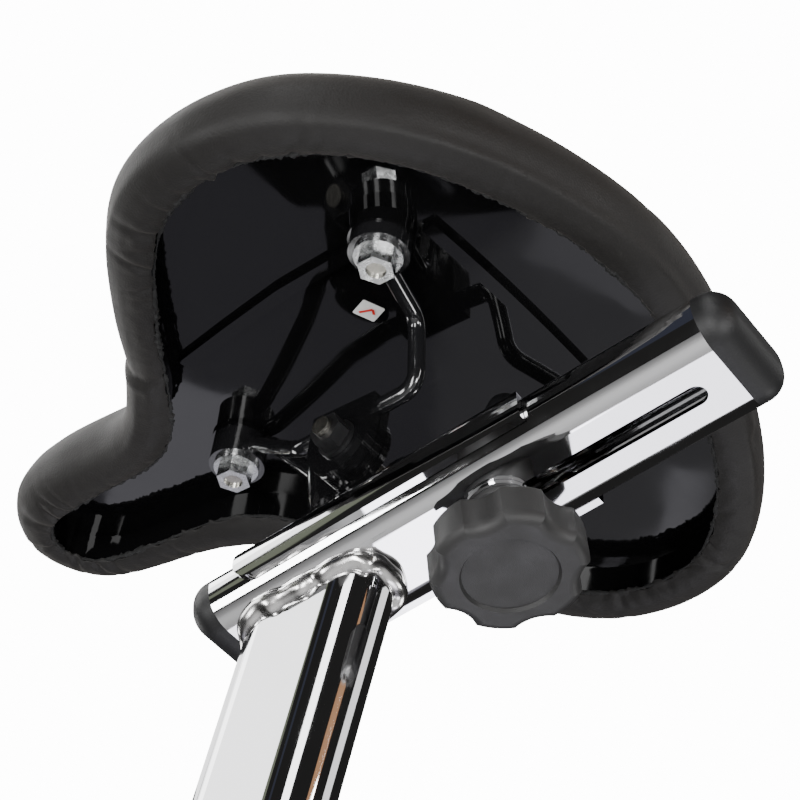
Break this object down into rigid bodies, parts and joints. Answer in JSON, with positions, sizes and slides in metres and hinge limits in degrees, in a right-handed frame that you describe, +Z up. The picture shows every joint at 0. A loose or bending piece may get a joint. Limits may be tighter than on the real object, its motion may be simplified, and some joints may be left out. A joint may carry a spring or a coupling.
{
  "type": "exercise bike saddle on a sliding seat post",
  "caption": "Padded exercise-bike saddle with a molded pan and wire rails, clamped to a carriage that slides along a slotted tube on a flat-oval seat post and locks with a knob.",
  "frame": {"origin": "centre of the seat post's lower open end", "axes": "+Z up, +X towards the nose of the saddle, +Y to the rider's left; the slider tube runs along X and the post leans back towards -X at its head"},
  "size_m": [0.3646, 0.3191, 0.4859],
  "materials": {
    "chrome_plate": "mirror",
    "weld_chrome": "lumpy, plated",
    "cap_plastic": "fine grain",
    "knob_plastic": "fine grain",
    "black_paint": "gloss",
    "black_rail": "satin",
    "zinc": "zinc plated",
    "black_oxide": "satin",
    "pan_plastic": "high gloss",
    "foam": "open cell",
    "vinyl": "matte grain",
    "sticker_paper": "satin"
  },
  "bodies": {
    "post": {"seat_post": "chrome_plate", "post_weld": "weld_chrome", "slider_tube": "chrome_plate", "front_end_cap": "cap_plastic", "rear_end_cap": "cap_plastic"},
    "carriage": {"slider_carriage": "chrome_plate", "stub_post": "black_paint", "stub_weld": "black_paint", "lock_bolt": "zinc"},
    "knob_thread": {"knob_washer": "chrome_plate"},
    "lock_knob": {"knob": "knob_plastic"},
    "clamp_collar_body": {"clamp_collar": "black_paint"},
    "clamp_plates": {"clamp_inner_left": "black_paint", "clamp_inner_right": "black_paint", "clamp_outer_left": "black_paint", "clamp_outer_right": "black_paint", "clamp_bolt": "zinc", "clamp_nut": "black_oxide", "clamp_washers": "black_oxide"},
    "saddle": {"rail_left": "black_rail", "rail_right": "black_rail", "saddle_studs": "zinc", "saddle_nuts": "zinc", "saddle_pan": "pan_plastic", "saddle_foam": "foam", "saddle_cover": "vinyl", "inspection_sticker": "sticker_paper"}
  },
  "joints": [
    {"name": "carriage_slide", "type": "slide", "parent": "post", "child": "carriage", "axis": [1, 0, 0], "range_m": [-0.083, 0.015]},
    {"name": "knob_travel", "type": "slide", "parent": "carriage", "child": "knob_thread", "axis": [0, 0, -1], "range_m": [0, 0.0025]},
    {"name": "knob_turn", "type": "hinge", "parent": "knob_thread", "child": "lock_knob", "pos_m": [-0.18854, 0, 0.28063], "axis": [0, 0, -1], "range_deg": [0, 720]},
    {"name": "saddle_swivel", "type": "hinge", "parent": "carriage", "child": "clamp_collar_body", "pos_m": [-0.11854, 0, 0.33503], "axis": [0, 0, 1], "range_deg": [-30, 30]},
    {"name": "saddle_tilt", "type": "hinge", "parent": "clamp_collar_body", "child": "clamp_plates", "pos_m": [-0.13601, 0.00101, 0.33503], "axis": [0.0576, 0.9983, 0], "range_deg": [-8, 25]},
    {"name": "saddle_fore_aft", "type": "slide", "parent": "clamp_plates", "child": "saddle", "axis": [0.9865, -0.0569, 0.1534], "range_m": [-0.006, 0.01]}
  ],
  "couplings": [
    {"joint": "knob_turn", "follows": "knob_travel", "rad_per_m": 5026.5}
  ]
}
